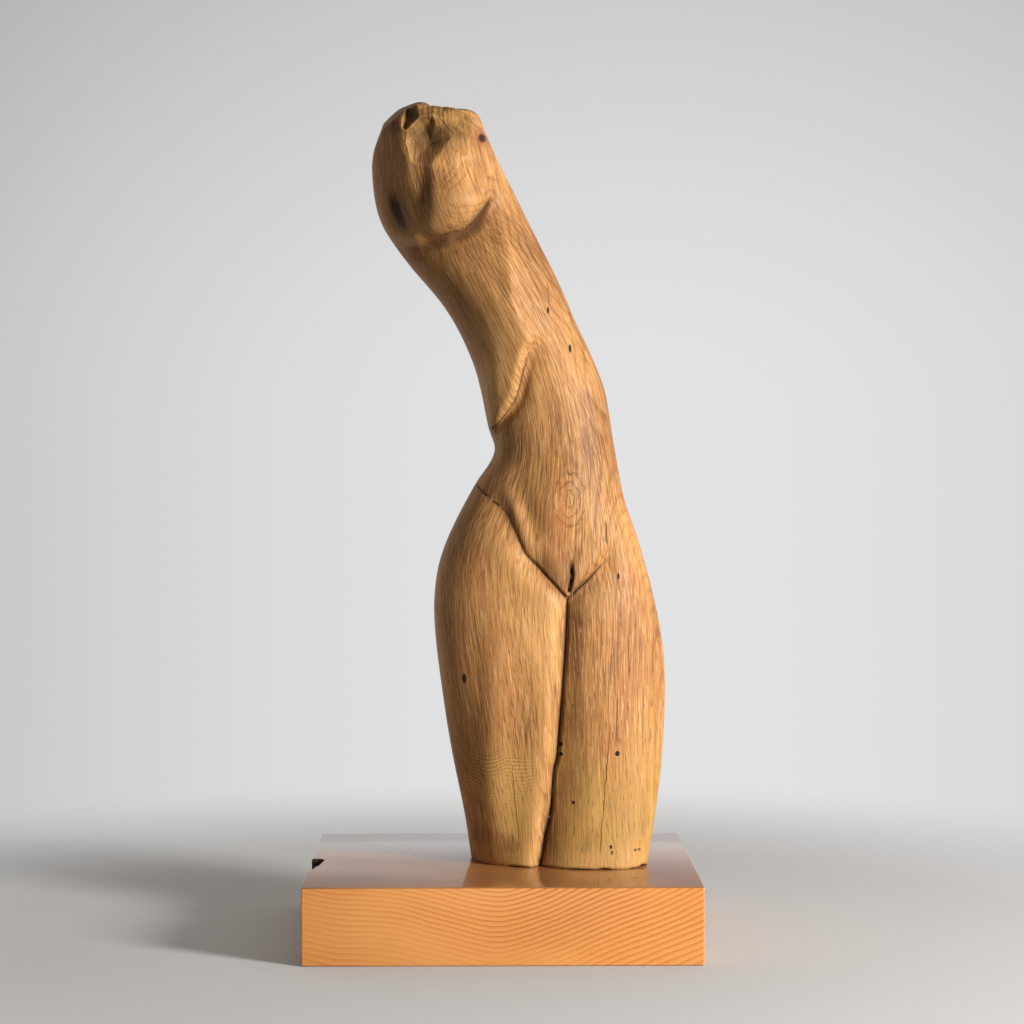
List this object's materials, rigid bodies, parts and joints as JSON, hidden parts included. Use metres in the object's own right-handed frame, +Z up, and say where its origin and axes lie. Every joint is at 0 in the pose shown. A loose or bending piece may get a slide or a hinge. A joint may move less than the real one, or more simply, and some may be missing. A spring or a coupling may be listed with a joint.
{
  "type": "female torso sculpture",
  "caption": "Leaning female torso carved from weathered oak, cut off above the breasts and at the calves, standing on a varnished rectangular wooden plinth.",
  "frame": {"origin": "Middle of the plinth's underside, on the surface that it stands on.", "axes": "+Z up along the figure, +X to the viewer's right, -Y towards the viewer in front of the belly."},
  "size_m": [0.275, 0.24, 0.6034],
  "materials": {
    "carved_oak": "hand carved, weathered, semi-matte",
    "varnished_pine": "sanded and varnished, glossy"
  },
  "bodies": {
    "root": {"torso": "carved_oak", "plinth": "varnished_pine"}
  },
  "joints": []
}
